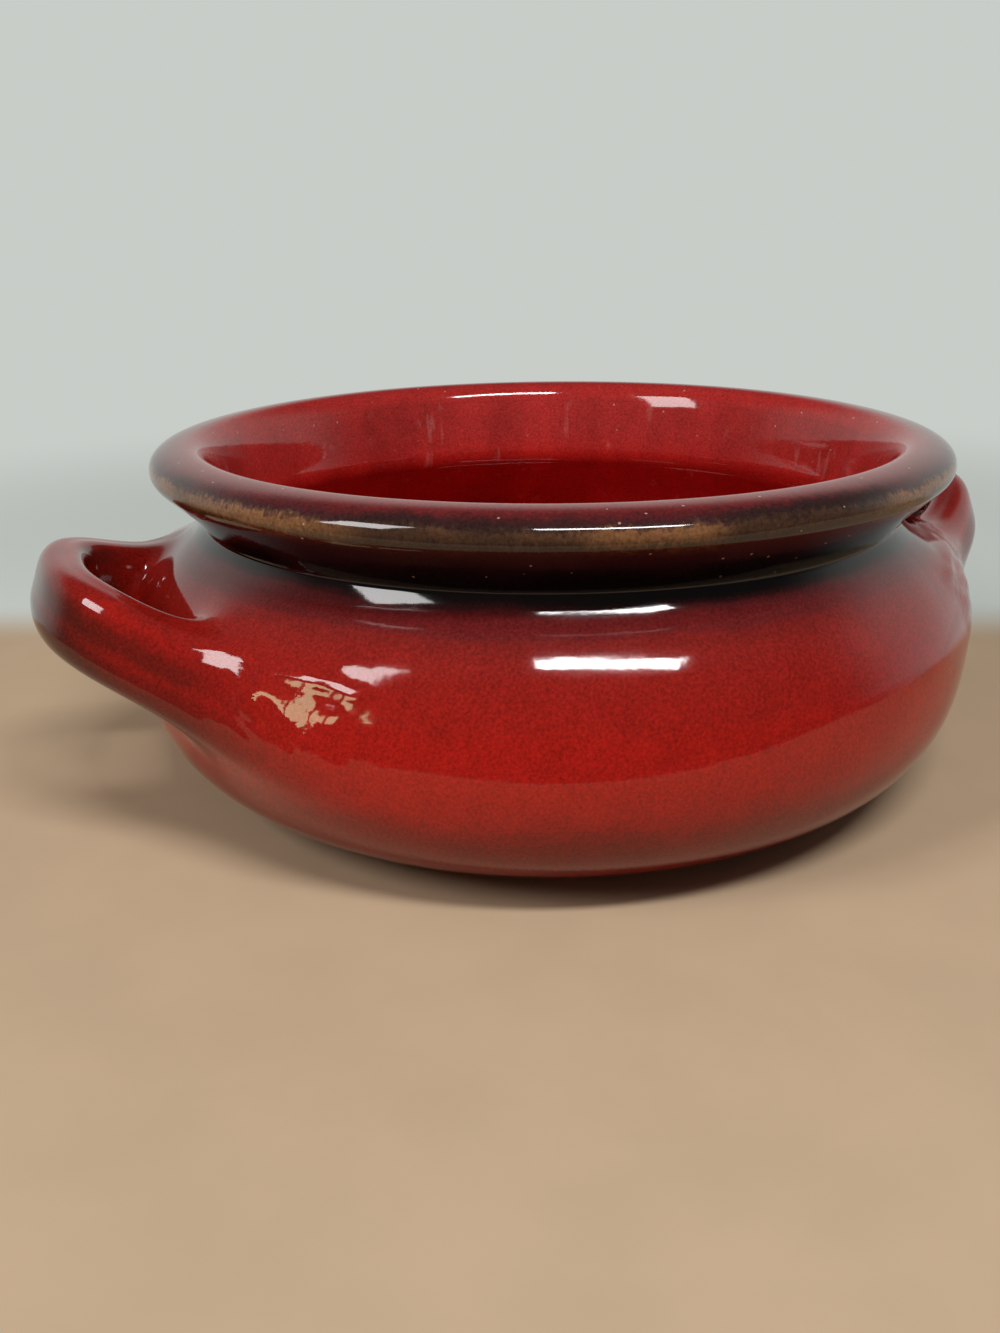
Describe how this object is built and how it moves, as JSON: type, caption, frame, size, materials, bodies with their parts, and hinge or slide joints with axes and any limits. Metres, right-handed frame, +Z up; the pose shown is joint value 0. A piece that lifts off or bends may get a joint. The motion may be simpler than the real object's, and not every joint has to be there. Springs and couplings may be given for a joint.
{
  "type": "terracotta casserole dish",
  "caption": "Squat round glazed earthenware pot with a recessed dark neck, a rolled rim and a rising strap handle at each side, open at the top for oven and hob cooking.",
  "frame": {"origin": "middle of the flat base, on the surface that the dish stands on", "axes": "+Z up, +X through the middles of both handles towards the right handle, +Y to the back"},
  "size_m": [0.234, 0.192, 0.0775],
  "materials": {
    "terracotta": "bare fired clay",
    "inner_glaze": "glossy red glaze",
    "rim_glaze": "glossy mottled brown and ochre glaze",
    "neck_glaze": "glossy near-black glaze",
    "belly_glaze": "glossy red glaze"
  },
  "bodies": {
    "root": {"clay_body": "terracotta", "left_handle": "terracotta", "right_handle": "terracotta", "inner_glaze": "inner_glaze", "rim_glaze": "rim_glaze", "neck_glaze": "neck_glaze", "belly_glaze": "belly_glaze", "left_handle_glaze": "belly_glaze", "right_handle_glaze": "belly_glaze"}
  },
  "joints": []
}
